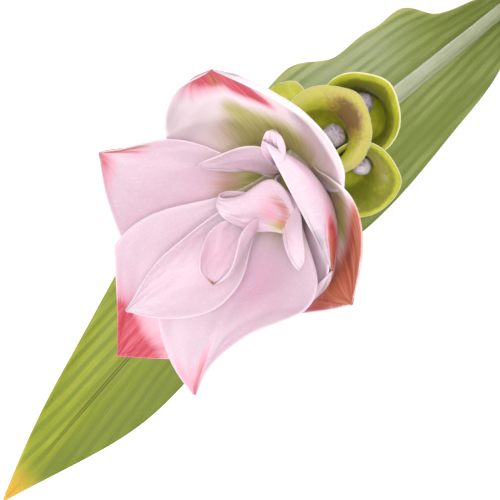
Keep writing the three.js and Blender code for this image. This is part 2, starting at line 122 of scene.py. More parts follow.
# Waves stay near the margin, shift from one side to the other, and calm down towards the tip
MARGIN_POWER = 2.5
SIDE_SHIFT = 0.23
CALM_TIP = 0.12
JUST_PAST_TIP = 1.0001
# The crease's width, where it ends before the tip, and the pace of the puckers
CREASE_WIDTH = 0.1
CREASE_END = 0.2
PUCKERS_ACROSS = 3.2
PUCKERS_ALONG = 6
# All of this grows in over a share of the length, so that the foot stays smooth
SMOOTH_FOOT = 0.25
SEED_SPREAD = 1.37
TURNED_SEED = 3.3
TURNED_SPAN = 20


def half_width(b, v):
    """Half of a blade's width, from its list of half widths or from its outline's few numbers."""
    if "half" in b:
        return np.maximum(along_curve(b["half"], v), THINNEST_HALF_WIDTH)
    t = np.clip(v / b["widest"], 0, 1)
    low = b["base"] + (1 - b["base"]) * t * t * (3 - 2 * t)
    past = np.clip((v - b["widest"]) / (1 - b["widest"]), 0, 1)
    high = np.clip(1 - past ** b["full"], 0, 1) ** b["point"]
    return np.maximum(b["wide"] / 2 * np.where(v < b["widest"], low, high), THINNEST_HALF_WIDTH)


def sheet(b):
    """The middle surface of a blade: a grid of points with v along it and u across it."""
    across = b["across"]
    along = b["along"]
    v = np.linspace(0, 1, along + 1)
    radial = unit(b["az"])
    around = unit(b["az"] + 90)
    lean = along_curve(b["lean"], v)[:, None] * RAD
    drift = along_curve(b.get("drift", [0, 0]), v)[:, None] * RAD
    out = np.cos(drift) * radial + np.sin(drift) * around
    side = np.cos(drift) * around - np.sin(drift) * radial
    ahead = np.cos(lean) * UP + np.sin(lean) * out
    inward = np.sin(lean) * UP - np.cos(lean) * out
    steps = (ahead[1:] + ahead[:-1]) / 2 * b["long"] / along
    middle = np.vstack([np.zeros(3), np.cumsum(steps, 0)]) + radial * b["root"] + UP * b["rise"]
    half = half_width(b, v)[:, None]
    roll = along_curve(b["roll"], v)[:, None] * RAD
    skew = along_curve(b.get("skew", [0, 0]), v)[:, None]
    margin = eased_steps(b.get("margin", [(0, 0), (1, 0)]), v)[:, None]
    grid = np.zeros((along + 1, 2 * across + 1, 3))
    reach = np.zeros((along + 1, 2 * across + 1))
    count = np.arange(across + 1)
    for hand in (-1, 1):
        extra = margin if hand < 0 else 0
        step = (half * (1 + hand * skew) + extra) / across
        angle = roll / 2 * (count[1:] - 0.5) / across
        x = np.hstack([np.zeros((along + 1, 1)), np.cumsum(np.cos(angle) * step, 1)])
        y = np.hstack([np.zeros((along + 1, 1)), np.cumsum(np.sin(angle) * step, 1)])
        columns = across + hand * count
        grid[:, columns] = (middle[:, None] + hand * x[..., None] * side[:, None]
                            + y[..., None] * inward[:, None])
        reach[:, columns] = hand * step * count
    vv, uu = np.meshgrid(v, np.linspace(-1, 1, 2 * across + 1), indexing="ij")
    return grid, vv, uu, reach


def normals_of(grid):
    """The unit normal at each point of a grid."""
    along = np.gradient(grid, axis=0)
    across = np.gradient(grid, axis=1)
    normal = np.cross(across, along)
    return normal / np.maximum(np.linalg.norm(normal, axis=2, keepdims=True), 1e-9)


def closed_sheet(grid, half_thick):
    """Points and faces of a sheet with a thickness, closed along its border."""
    normal = normals_of(grid) * half_thick[..., None]
    n, m = half_thick.shape
    points = np.concatenate([(grid + normal).reshape(-1, 3), (grid - normal).reshape(-1, 3)])
    index = np.arange(n * m).reshape(n, m)
    corners = [index[:-1, :-1], index[:-1, 1:], index[1:, 1:], index[1:, :-1]]
    outer = np.stack(corners, -1).reshape(-1, 4)
    inner = outer[:, ::-1] + n * m
    border = np.concatenate([index[0, :-1], index[:-1, -1], index[-1, :0:-1], index[:0:-1, 0]])
    after = np.roll(border, -1)
    walls = np.stack([border, border + n * m, after + n * m, after], -1)
    return points, np.concatenate([outer, inner, walls])


def relief(b, number, v, u):
    """How far a blade's surface lies off its smooth sheet: margin waves, a crease and puckers."""
    hold = smooth(0, SMOOTH_FOOT, v)
    swing = np.sin(TURN_ROUND * (b["waves"] * v + number * b["phase"] + SIDE_SHIFT * np.sign(u)))
    calm = smooth(0, CALM_TIP, JUST_PAST_TIP - v)
    push = b["wave"] * swing * np.abs(u) ** MARGIN_POWER * hold * calm
    push -= b["crease"] * np.exp(-(u / CREASE_WIDTH) ** 2) * hold * smooth(0, CREASE_END, 1 - v)
    bumps = ripple(PUCKERS_ACROSS * u, PUCKERS_ALONG * v, b["first_seed"] + number)
    return push + b["pucker"] * bumps * hold


def blade(b, kind, number):
    """A closed blade of a kind, with its surface values: grow (v, u, seed), span (along, across, 0)."""
    b = {**kind, **b}
    grid, v, u, reach = sheet(b)
    grid = grid + normals_of(grid) * relief(b, number, v, u)[..., None]
    rounded = np.sqrt(np.clip(1 - np.abs(u) ** 4, 0, 1))
    half_thick = b["thick"] / 2 * (MARGIN_THICKNESS + (1 - MARGIN_THICKNESS) * rounded)
    half_thick = half_thick * (TIP_THICKNESS + (1 - TIP_THICKNESS) * smooth(0, TAPER, 1 - v))
    points, faces = closed_sheet(grid, half_thick)
    along = np.tile(v.ravel(), 2)
    seed = np.full_like(along, (b["first_seed"] + number) * SEED_SPREAD)
    grow = np.stack([along, np.tile(u.ravel(), 2), seed], -1)
    span = np.stack([along * b["long"], np.tile(reach.ravel(), 2), np.zeros_like(along)], -1)
    return points, faces, {"grow": grow, "span": span}


def to_spike(points):
    """From the spike's own frame, tilted at the stem's head, to the row frame."""
    c = math.cos(SPIKE_TILT * RAD)
    s = math.sin(SPIKE_TILT * RAD)
    x, y, z = points.T
    return np.stack([x, y * c + z * s, z * c - y * s + SPIKE_Z], -1)


def ring_faces(rings, sides, closed_ends=True):
    """Faces of a form made of rings of points, with a cap at each end if it is closed there."""
    index = np.arange(rings * sides).reshape(rings, sides)
    after = np.roll(index, -1, 1)
    walls = np.stack([index[:-1], after[:-1], after[1:], index[1:]], -1).reshape(-1, 4)
    faces = [list(f) for f in walls]
    if closed_ends:
        faces += [list(index[0][::-1]), list(index[-1])]
    return faces


def make_piece(name, points, faces, values, look, node):
    """A visible piece from points in millimetres, with the surface values that its look reads."""
    mesh = bpy.data.meshes.new(name)
    mesh.from_pydata((np.asarray(points) * MM).tolist(), [], [tuple(int(i) for i in f) for f in faces])
    for key, rows in values.items():
        kind, field = ("FLOAT_COLOR", "color") if key == "tint" else ("FLOAT_VECTOR", "vector")
        layer = mesh.attributes.new(key, kind, "POINT")
        layer.data.foreach_set(field, np.asarray(rows, np.float32).ravel())
    mesh.shade_smooth()
    mesh.materials.append(look)
    piece = bpy.data.objects.new(name, mesh)
    bpy.context.scene.collection.objects.link(piece)
    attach(piece, "root")
    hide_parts(node)


def turned(profile, sides, name, look, node, place=None, tint=(0, 0, 0, 0)):
    """A form turned about +Z from (radius, height) pairs."""
    angle = circle(sides)
    r, z = np.asarray(profile, float).T
    x = r[:, None] * np.cos(angle)
    y = r[:, None] * np.sin(angle)
    points = np.stack([x, y, np.repeat(z[:, None], sides, 1)], -1).reshape(-1, 3)
    v = np.repeat(np.linspace(0, 1, len(r)), sides)
    u = np.tile(np.linspace(-1, 1, sides), len(r))
    values = {
        "grow": np.stack([v, u, np.full_like(v, TURNED_SEED)], -1),
        "span": np.stack([points[:, 2], u * TURNED_SPAN, np.zeros_like(v)], -1),
        "tint": np.tile(tint, (len(points), 1)),
    }
    points = place(points) if place else points
    make_piece(name, points, ring_faces(len(r), sides), values, look, node)


# Materials

class Look:
    """A node material, built up from small steps."""

    def __init__(self, name, roughness, shine=0.5, glow=0.0, glow_depth=0.0, glow_colour=(1, 1, 1)):
        self.material = bpy.data.materials.new(name)
        self.material.use_nodes = True
        self.tree = self.material.node_tree
        self.shader = self.tree.nodes["Principled BSDF"]
        self.shader.inputs["Roughness"].default_value = roughness
        self.shader.inputs["Specular IOR Level"].default_value = shine
        self.shader.inputs["Subsurface Weight"].default_value = glow
        self.shader.inputs["Subsurface Scale"].default_value = glow_depth
        self.shader.inputs["Subsurface Radius"].default_value = glow_colour

    def fill(self, socket, value):
        """Joins a socket to a node's output, or sets it to a number or a colour."""
        if isinstance(value, bpy.types.NodeSocket):
            self.tree.links.new(value, socket)
        elif isinstance(value, tuple) and len(value) == 3 and socket.type == "RGBA":
            socket.default_value = (*value, 1)
        else:
            socket.default_value = value

    def add(self, kind, inputs, out=0, **settings):
        """Adds a node and gives back one of its outputs."""
        node = self.tree.nodes.new("ShaderNode" + kind)
        for key, value in settings.items():
            setattr(node, key, value)
        for key, value in inputs.items():
            self.fill(node.inputs[key], value)
        return node.outputs[out]

    def plus(self, a, b):
        return self.add("Math", {0: a, 1: b}, operation="ADD")

    def minus(self, a, b):
        return self.add("Math", {0: a, 1: b}, operation="SUBTRACT")

    def times(self, a, b):
        return self.add("Math", {0: a, 1: b}, operation="MULTIPLY")

    def size(self, a):
        return self.add("Math", {0: a}, operation="ABSOLUTE")

    def wave(self, a):
        return self.add("Math", {0: a}, operation="SINE")

    def swing(self, noise, amount):
        """A noise of 0 to 1 as a swing about zero."""
        return self.times(self.minus(noise, 0.5), amount)

    def range(self, value, low, high, to_low=0.0, to_high=1.0):
        """An eased run from to_low, where the value is low, to to_high."""
        inputs = {0: value, 1: low, 2: high, 3: to_low, 4: to_high}
        return self.add("MapRange", inputs, interpolation_type="SMOOTHSTEP")

    def mix(self, factor, a, b):
        return self.add("Mix", {0: factor, 6: a, 7: b}, out=2, data_type="RGBA")

    def over(self, base, colour, value, low=0.3, high=0.7, share=1.0):
        """The base colour giving way to another, by a share at most, as a value goes from low to high."""
        return self.mix(self.range(value, low, high, 0.0, share), base, colour)

    def values(self, name):
        """The three numbers of a surface value."""
        node = self.tree.nodes.new("ShaderNodeSeparateXYZ")
        self.tree.links.new(self.add("Attribute", {}, out="Vector", attribute_name=name), node.inputs[0])
        return node.outputs

    def tints(self):
        """The four amounts painted on a surface."""
        node = self.tree.nodes.new("ShaderNodeSeparateColor")
        self.tree.links.new(self.add("Attribute", {}, out="Color", attribute_name="tint"), node.inputs[0])
        return (*node.outputs, self.add("Attribute", {}, out="Alpha", attribute_name="tint"))

    def noise(self, x, y, z, detail=3.0, roughness=0.55):
        """Noise of 0 to 1 over three numbers."""
        where = self.add("CombineXYZ", {0: x, 1: y, 2: z})
        inputs = {"Vector": where, "Scale": 1.0, "Detail": detail, "Roughness": roughness}
        return self.add("TexNoise", inputs)

    def grain(self, scale, detail=3.0, roughness=0.55):
        """Noise at a number of cells to the metre."""
        where = self.add("TexCoord", {}, out="Object")
        inputs = {"Vector": where, "Scale": scale, "Detail": detail, "Roughness": roughness}
        return self.add("TexNoise", inputs)

    def finish(self, colour, roughness, height, strength, distance):
        """Joins colour, roughness and bump to the shader and gives back the material."""
        self.fill(self.shader.inputs["Base Color"], colour)
        self.fill(self.shader.inputs["Roughness"], roughness)
        bump = self.add("Bump", {"Height": height, "Strength": strength, "Distance": distance})
        self.fill(self.shader.inputs["Normal"], bump)
        return self.material


PETAL = (0.77, 0.61, 0.685)
PETAL_ROSY = (0.75, 0.57, 0.66)
PETAL_PAINTED_LIGHT = (0.92, 0.81, 0.855)
PETAL_DEEP_AND_SHADE = (0.76, 0.40, 0.58)
PETAL_VEIN = (0.76, 0.46, 0.62)
PETAL_SILK = (0.94, 0.85, 0.89)
PETAL_EDGE_HIGHLIGHT = (0.97, 0.89, 0.86)
OLIVE_DARK = (0.42, 0.40, 0.09)
OLIVE_LIGHT = (0.56, 0.55, 0.20)
FLUSH = (0.86, 0.34, 0.46)
CRIMSON_DARK = (0.58, 0.06, 0.10)
CRIMSON_LIGHT = (0.70, 0.15, 0.20)
RUST_DARK = (0.40, 0.095, 0.055)
RUST_LIGHT = (0.60, 0.22, 0.13)


def bract_look():
    """Pale pink with soft veins, painted light and painted shade in its paler and deeper pinks, a painted
    highlight along the margins, and the patches that each bract's tint paints on it.
    """
    k = Look("pink_bract", 0.5, shine=0.35, glow=0.3, glow_depth=0.0018, glow_colour=(1.0, 0.5, 0.6))
    v, u, seed = k.values("grow")
    along, across, _ = k.values("span")
    red, green, rust, pink = k.tints()
    streak = k.noise(k.times(u, 15.0), k.times(v, 1.3), k.times(seed, 3.0), roughness=0.6)
    vein = k.noise(k.times(across, 1.5), k.times(along, 0.05), seed, detail=2.0)
    silk = k.noise(k.times(across, 1.9), k.times(along, 1.1), seed, detail=2.0)
    cloud = k.noise(k.times(u, 2.2), k.times(v, 2.6), k.times(seed, 5.0))
    base = k.over(PETAL, PETAL_ROSY, cloud, 0.35, 0.7)
    deep = k.plus(pink, k.swing(streak, 0.25))
    # Painted light: paler pink where the deep-pink tint is low, at each bract's foot and all over the top
    # bract
    base = k.over(base, PETAL_PAINTED_LIGHT, deep, 0.25, 0.05)
    # Deeper pink: partly the bracts' own colour and partly painted shade in their folds
    base = k.over(base, PETAL_DEEP_AND_SHADE, deep, 0.3, 1.1)
    base = k.over(base, PETAL_VEIN, vein, 0.5, 0.72, 0.08)
    base = k.over(base, PETAL_SILK, silk, 0.5, 0.75, 0.25)
    leafy = k.plus(green, k.swing(streak, 0.35))
    olive = k.over(OLIVE_DARK, OLIVE_LIGHT, vein)
    base = k.over(base, olive, leafy, 0.12, 1.0, 0.95)
    warm = k.plus(red, k.swing(streak, 0.42))
    base = k.over(base, FLUSH, warm, 0.12, 0.5, 0.5)
    crimson = k.over(CRIMSON_DARK, CRIMSON_LIGHT, vein, 0.35, 0.7)
    base = k.over(base, crimson, warm, 0.4, 1.0)
    burnt = k.plus(rust, k.plus(k.swing(vein, 0.5), k.swing(streak, 0.5)))
    brown = k.over(RUST_DARK, RUST_LIGHT, streak, 0.35, 0.65)
    base = k.over(base, brown, burnt, 0.25, 0.9)
    # Painted highlight: a thin pale line along each margin
    base = k.over(base, PETAL_EDGE_HIGHLIGHT, k.size(u), 0.97, 1.0, 0.15)
    height = k.plus(k.times(silk, 0.6), k.times(vein, 0.4))
    return k.finish(base, k.range(silk, 0.3, 0.7, 0.42, 0.54), height, 0.15, 0.0003)


CUP_GREEN = (0.43, 0.44, 0.033)
CUP_YELLOW = (0.56, 0.555, 0.055)
CUP_STREAK = (0.27, 0.29, 0.015)
CUP_CREAM = (0.58, 0.52, 0.14)
CUP_DARK_GREEN_AND_SHADE = (0.13, 0.14, 0.014)
CUP_BROWN = (0.36, 0.23, 0.05)
CUP_DARK_BROWN = (0.17, 0.085, 0.04)
CUP_RIM = (0.86, 0.80, 0.48)


def cup_look():
    """Yellow-green with a creamy lip, a thin pale rim, brown and dark green mottling, and dark green
    painted shade down the inner walls of the deeper cups.
    """
    k = Look("green_bract", 0.4, shine=0.25, glow=0.5, glow_depth=0.0025, glow_colour=(0.9, 1.0, 0.3))
    _, _, seed = k.values("grow")
    along, across, _ = k.values("span")
    lip, brown, rim, wall_shade = k.tints()
    streak = k.noise(k.times(across, 0.9), k.times(along, 0.1), seed, roughness=0.6)
    cloud = k.noise(k.times(across, 0.22), k.times(along, 0.22), seed)
    speck = k.grain(900.0, roughness=0.6)
    base = k.over(CUP_GREEN, CUP_YELLOW, cloud)
    base = k.over(base, CUP_STREAK, streak, 0.48, 0.72, 0.3)
    base = k.over(base, CUP_CREAM, k.plus(lip, k.swing(cloud, 0.5)), 0.2, 1.1)
    shade = k.plus(wall_shade, k.plus(k.swing(cloud, 1.3), k.swing(speck, 0.7)))
    # Dark green: mottling from the noise, and painted shade down the inner wall where the wall's shade
    # amount is high
    base = k.over(base, CUP_DARK_GREEN_AND_SHADE, shade, 0.3, 1.1, 0.75)
    mottle = k.plus(brown, k.plus(k.swing(speck, 0.9), k.swing(cloud, 0.8)))
    base = k.over(base, CUP_BROWN, mottle, 0.2, 0.9, 0.85)
    base = k.over(base, CUP_DARK_BROWN, mottle, 0.65, 1.2, 0.8)
    base = k.over(base, CUP_RIM, rim, 0.35, 0.9)
    return k.finish(base, k.range(streak, 0.3, 0.7, 0.34, 0.48), speck, 0.15, 0.0003)


BUD_FOLD_SHADE = (0.38, 0.29, 0.40)
BUD_LILAC = (0.66, 0.58, 0.67)
BUD_PAINTED_HIGHLIGHT = (0.76, 0.70, 0.78)
BUD_STALK = (0.42, 0.42, 0.16)


def bud_look():
    """Lilac grey with painted shade in the folds and painted highlights in patches, on a green stalk."""
    k = Look("bud", 0.42, glow=0.3, glow_depth=0.002, glow_colour=(1.0, 0.6, 0.8))
    v, u, seed = k.values("grow")
    folds = k.noise(k.times(u, 3.0), k.times(v, 4.5), seed, detail=4.0, roughness=0.6)
    # Painted shade: darker in the folds, where the bump is low
    base = k.over(BUD_FOLD_SHADE, BUD_LILAC, folds, 0.35, 0.62)
    # Painted highlight: whitish lilac patches
    base = k.over(base, BUD_PAINTED_HIGHLIGHT, k.grain(260.0), 0.45, 0.7, 0.5)
    base = k.over(base, BUD_STALK, v, 0.35, 0.05)
    return k.finish(base, k.range(folds, 0.3, 0.7, 0.5, 0.32), folds, 0.6, 0.0006)


LEAF_UPPER_DARK = (0.22, 0.27, 0.055)
LEAF_UPPER_LIGHT = (0.36, 0.41, 0.13)
LEAF_LOWER_DARK = (0.23, 0.29, 0.018)
LEAF_LOWER_LIGHT = (0.36, 0.40, 0.03)
LEAF_PAINTED_SHEEN = (0.50, 0.53, 0.34)
LEAF_PAINTED_SHADE = (0.155, 0.20, 0.035)
LEAF_BAND = (0.125, 0.175, 0.025)
LEAF_VEIN = (0.40, 0.42, 0.14)
LEAF_YELLOW = (0.56, 0.50, 0.045)
LEAF_TIP = (0.72, 0.42, 0.05)
LEAF_RIB = (0.075, 0.07, 0.018)
LEAF_SHEATH = (0.44, 0.46, 0.20)
BAND_PITCH = 4.6
VEIN_PITCH = 1.15


def leaf_look():
    """Green with slanted bands and fine veins, a yellow margin and tip, a dark double midrib, a painted
    sheen on one half near the middle and painted shade along the other half.
    """
    k = Look("leaf", 0.42, shine=0.25, glow=0.12, glow_depth=0.001, glow_colour=(0.5, 1.0, 0.15))
    v, u, seed = k.values("grow")
    along, across, _ = k.values("span")
    wide = k.size(across)
    wander = k.noise(k.times(along, 0.012), k.times(across, 0.05), seed, detail=2.0)
    slant = k.plus(k.minus(wide, k.times(along, 0.05)), k.times(wander, 7.0))
    band = k.wave(k.times(slant, TURN_ROUND / BAND_PITCH))
    vein = k.wave(k.times(slant, TURN_ROUND / VEIN_PITCH))
    cloud = k.noise(k.times(along, 0.02), k.times(across, 0.10), seed, detail=4.0, roughness=0.6)
    grain = k.noise(k.times(along, 0.15), k.times(across, 2.0), seed, detail=2.0)
    upper = k.over(LEAF_UPPER_DARK, LEAF_UPPER_LIGHT, cloud)
    lower = k.over(LEAF_LOWER_DARK, LEAF_LOWER_LIGHT, cloud)
    base = k.over(upper, lower, v, 0.62, 0.80)
    # Painted sheen: paler on the upper-left half, part of the way along
    leaf_sheen_mask = k.times(k.range(v, 0.45, 0.53), k.range(v, 0.66, 0.58))
    base = k.mix(k.times(leaf_sheen_mask, k.range(u, 0.0, -0.7, 0.0, 0.6)), base, LEAF_PAINTED_SHEEN)
    # Painted shade: darker along the other half, more so towards the tip
    leaf_shade_mask = k.times(k.range(u, 0.1, 0.6), k.range(v, 0.55, 0.75, 0.3, 0.55))
    base = k.mix(leaf_shade_mask, base, LEAF_PAINTED_SHADE)
    dark = k.times(k.range(band, -0.6, 0.9), k.range(cloud, 0.25, 0.65, 0.12, 0.55))
    base = k.mix(dark, base, LEAF_BAND)
    base = k.over(base, LEAF_VEIN, vein, 0.1, 1.0, 0.06)
    yellow = k.plus(k.range(u, -0.8, -1.02, 0.0, 0.5), k.range(v, 0.92, 1.0, 0.0, 0.8))
    base = k.over(base, LEAF_YELLOW, k.plus(yellow, k.swing(cloud, 0.5)), 0.2, 1.1)
    base = k.over(base, LEAF_TIP, v, 0.955, 0.995)
    rib = k.minus(k.range(wide, 0.95, 0.5), k.range(wide, 0.4, 0.1, 0.0, 0.7))
    shown = k.times(rib, k.times(k.range(v, 0.70, 0.80), k.range(v, 0.97, 0.88)))
    base = k.mix(k.times(shown, 0.8), base, LEAF_RIB)
    base = k.over(base, LEAF_SHEATH, v, 0.22, 0.04)
    height = k.plus(k.times(band, 0.5), k.plus(k.times(vein, 0.25), k.times(grain, 0.3)))
    height = k.minus(height, k.times(shown, 1.2))
    return k.finish(base, k.range(cloud, 0.3, 0.7, 0.36, 0.48), height, 0.25, 0.0004)


STEM_GREEN = (0.34, 0.37, 0.20)
STEM_LIGHT = (0.46, 0.48, 0.33)
STEM_CLOUD = (0.54, 0.54, 0.44)
STEM_PAINTED_LIGHT = (0.62, 0.63, 0.55)
STEM_PAINTED_SHADE = (0.20, 0.23, 0.09)


def stem_look():
    """Pale green, with painted light along one side and painted shade along the other."""
    k = Look("stem", 0.38, shine=0.5, glow=0.15, glow_depth=0.0015, glow_colour=(0.6, 1.0, 0.3))
    _, u, seed = k.values("grow")
    along, across, _ = k.values("span")
    streak = k.noise(k.times(across, 1.4), k.times(along, 0.05), seed, roughness=0.6)
    base = k.over(STEM_GREEN, STEM_LIGHT, streak)
    base = k.over(base, STEM_CLOUD, k.grain(60.0), 0.45, 0.75, 0.35)
    # Painted light along the side that faces +X
    base = k.over(base, STEM_PAINTED_LIGHT, u, 0.2, 0.95, 0.45)
    # Painted shade along the side that faces away from +X
    base = k.over(base, STEM_PAINTED_SHADE, u, -0.1, -0.9, 0.5)
    return k.finish(base, k.range(streak, 0.3, 0.7, 0.30, 0.42), streak, 0.15, 0.0003)


CLAY_DARK = (0.42, 0.155, 0.075)
CLAY_LIGHT = (0.56, 0.24, 0.125)
CLAY_GRAIN = (0.66, 0.36, 0.22)
CLAY_CHALK = (0.72, 0.56, 0.44)
CLAY_BAND = (0.30, 0.10, 0.05)


def clay_look():
    """Fired clay with chalky clouds and faint turning marks."""
    k = Look("pot_clay", 0.85)
    height_up, _, _ = k.values("span")
    cloud = k.grain(22.0, detail=5.0, roughness=0.6)
    grain = k.grain(900.0, roughness=0.6)
    bands = k.noise(0.0, 0.0, k.times(height_up, 0.33), roughness=0.6)
    base = k.over(CLAY_DARK, CLAY_LIGHT, cloud)
    base = k.over(base, CLAY_GRAIN, grain, 0.5, 0.8, 0.35)
    base = k.over(base, CLAY_CHALK, cloud, 0.58, 0.8, 0.4)
    base = k.over(base, CLAY_BAND, bands, 0.5, 0.8, 0.12)
    height = k.plus(k.times(grain, 0.5), k.times(bands, 0.8))
    return k.finish(base, k.range(cloud, 0.3, 0.7, 0.75, 0.92), height, 0.35, 0.0005)


SOIL_DARK = (0.018, 0.010, 0.006)
SOIL_BROWN = (0.075, 0.042, 0.024)
SOIL_FLECK = (0.12, 0.075, 0.045)
BARK_LIGHT = (0.20, 0.10, 0.045)
BARK_DARK = (0.10, 0.05, 0.025)
PERLITE_GREY = (0.62, 0.60, 0.55)
PERLITE_WHITE = (0.78, 0.77, 0.73)


def soil_look():
    """Dark potting mix, with bark and perlite where the surface values say so."""
    k = Look("soil", 0.95)
    bark, perlite, _ = k.values("grow")
    coarse = k.grain(260.0, detail=5.0, roughness=0.65)
    fine = k.grain(1400.0, roughness=0.6)
    base = k.over(SOIL_DARK, SOIL_BROWN, coarse)
    base = k.over(base, SOIL_FLECK, fine, 0.5, 0.8, 0.5)
    base = k.mix(k.times(bark, 0.9), base, k.over(BARK_LIGHT, BARK_DARK, fine))
    base = k.mix(perlite, base, k.over(PERLITE_GREY, PERLITE_WHITE, fine))
    return k.finish(base, k.range(fine, 0.3, 0.7, 0.85, 1.0), k.plus(coarse, fine), 0.6, 0.0012)


FLOOR_PALE = (0.965, 0.965, 0.965)
FLOOR_WHITE = (0.975, 0.975, 0.975)


def floor_look():
    """A plain, nearly white floor."""
    k = Look("floor", 0.9)
    cloud = k.grain(3.0, detail=2.0)
    k.fill(k.shader.inputs["Base Color"], k.over(FLOOR_PALE, FLOOR_WHITE, cloud))
    return k.material


# The crown of pink bracts, in the spike's own frame, from the outer ones in to the heart

BRACT = dict(
    root=4, base=0.3, thick=0.8, across=20, along=64, first_seed=11,
    wave=0.8, waves=1.7, phase=0.31, crease=0.45, pucker=0.4)
CROWN = {
    "top": dict(
        az=313, rise=55, long=61, wide=68, lean=[28, 53, 43, 50], roll=[146, 122, 97, 86],
        skew=[.2, -.05, -.27], drift=[-8, 3, 11], widest=.51, full=2.2, point=.34),
    "left": dict(
        az=23, rise=58, long=60, wide=54, lean=[25, 45, 52, 57], roll=[170, 110, 82, 90],
        skew=[.35, .5, .5], widest=.57, full=1.7, point=.85),
    "low": dict(
        az=97, rise=62, long=75, wide=48, lean=[23, 41, 50, 55], roll=[140, 90, 55, 60],
        skew=[0, -.08, .2], drift=[0, -3, 2], widest=.67, full=1.05, point=1.0, base=.35),
    "bottom": dict(
        az=127, rise=64, long=69, wide=46, lean=[22, 40, 50, 52], roll=[150, 97, 85, 90],
        skew=[0, .5, -.25, -.6], drift=[0, -5, 9], widest=.48, full=1.1, point=.85),
    "pale": dict(
        az=162, rise=53.6, long=47.1, wide=32.2, lean=[18, 23.6, 52, 43],
        roll=[150, 112, 105, 50], skew=[-.08, .6, .5], drift=[-7, 9.8, -9.9], widest=.63, full=2.6,
        point=.89),
    "right": dict(
        az=200, rise=50, long=57, wide=54, lean=[22, 39, 46, 40], roll=[150, 111, 77, 65],
        skew=[0, 0, .15], drift=[1, 2, -8], widest=.66, full=2.2, point=.95),
    "strap": dict(
        az=212, rise=52, long=48.6, wide=67, lean=[6, 47, 41, 10], roll=[178, 186, 148, 128],
        skew=[.47, .54, .27, .36], drift=[-26.7, -4.5, 5.9], widest=.89, full=3.6, point=.6),
    "cradle": dict(
        az=85, rise=71, long=56, wide=27, lean=[16, 34, 45, 40], roll=[187, 160, 109, 61],
        skew=[-.1, .3, .45], drift=[2, 3, -7], widest=.5, full=2, point=1.0),
    "heart": dict(
        az=131, rise=81, root=3, long=29, wide=22, lean=[4, 11, 25, 28], roll=[240, 202, 190, 157],
        skew=[0, .15, .2, -.05], drift=[-1, 9, 4], widest=.58, full=2.6, point=.5, base=.4),
    "hood": dict(
        az=5, rise=66, root=3, long=53, half=[2.2, 2.5, 1.6, 1.6, 4.8, 9, 3],
        lean=[-11, 8, 42, -77, -117, -100], roll=[121, 62, 56, 116, 84, 72], skew=[.1, -.26, -.6],
        drift=[-17, 26, 15]),
    "tongue": dict(
        az=-4, rise=62, root=3, long=46.7, wide=8.7, lean=[-10, -15, -53, -37.5, -81],
        roll=[150, 80, 59, 75, 33], skew=[.13, -.75, -.52], drift=[56, 8.7], widest=.7, full=2.5,
        point=.42, base=.6),
    "strip": dict(
        az=329, rise=58, long=38, wide=13, lean=[-1, 27, 38, 35], roll=[152, 143, 46, 13],
        drift=[0, 33, 51], skew=[.2, -.9, -.37], widest=.54, full=2.3, point=1, base=.6),
    "curl": dict(
        az=286.5, rise=61.7, long=46.1, wide=9.3, lean=[20.8, 45.1, 40.1, 70.3],
        roll=[140, 134, 170, 58], drift=[5, -2.8, 17.1], skew=[0, 0, -.21], widest=.66, full=3.1,
        point=.35, base=.8),
}
# Colour patches on each bract, as (colour, v, u, reach along v, reach along u, amount)
RED, GREEN, RUST, DEEP_PINK_AND_SHADE = range(4)
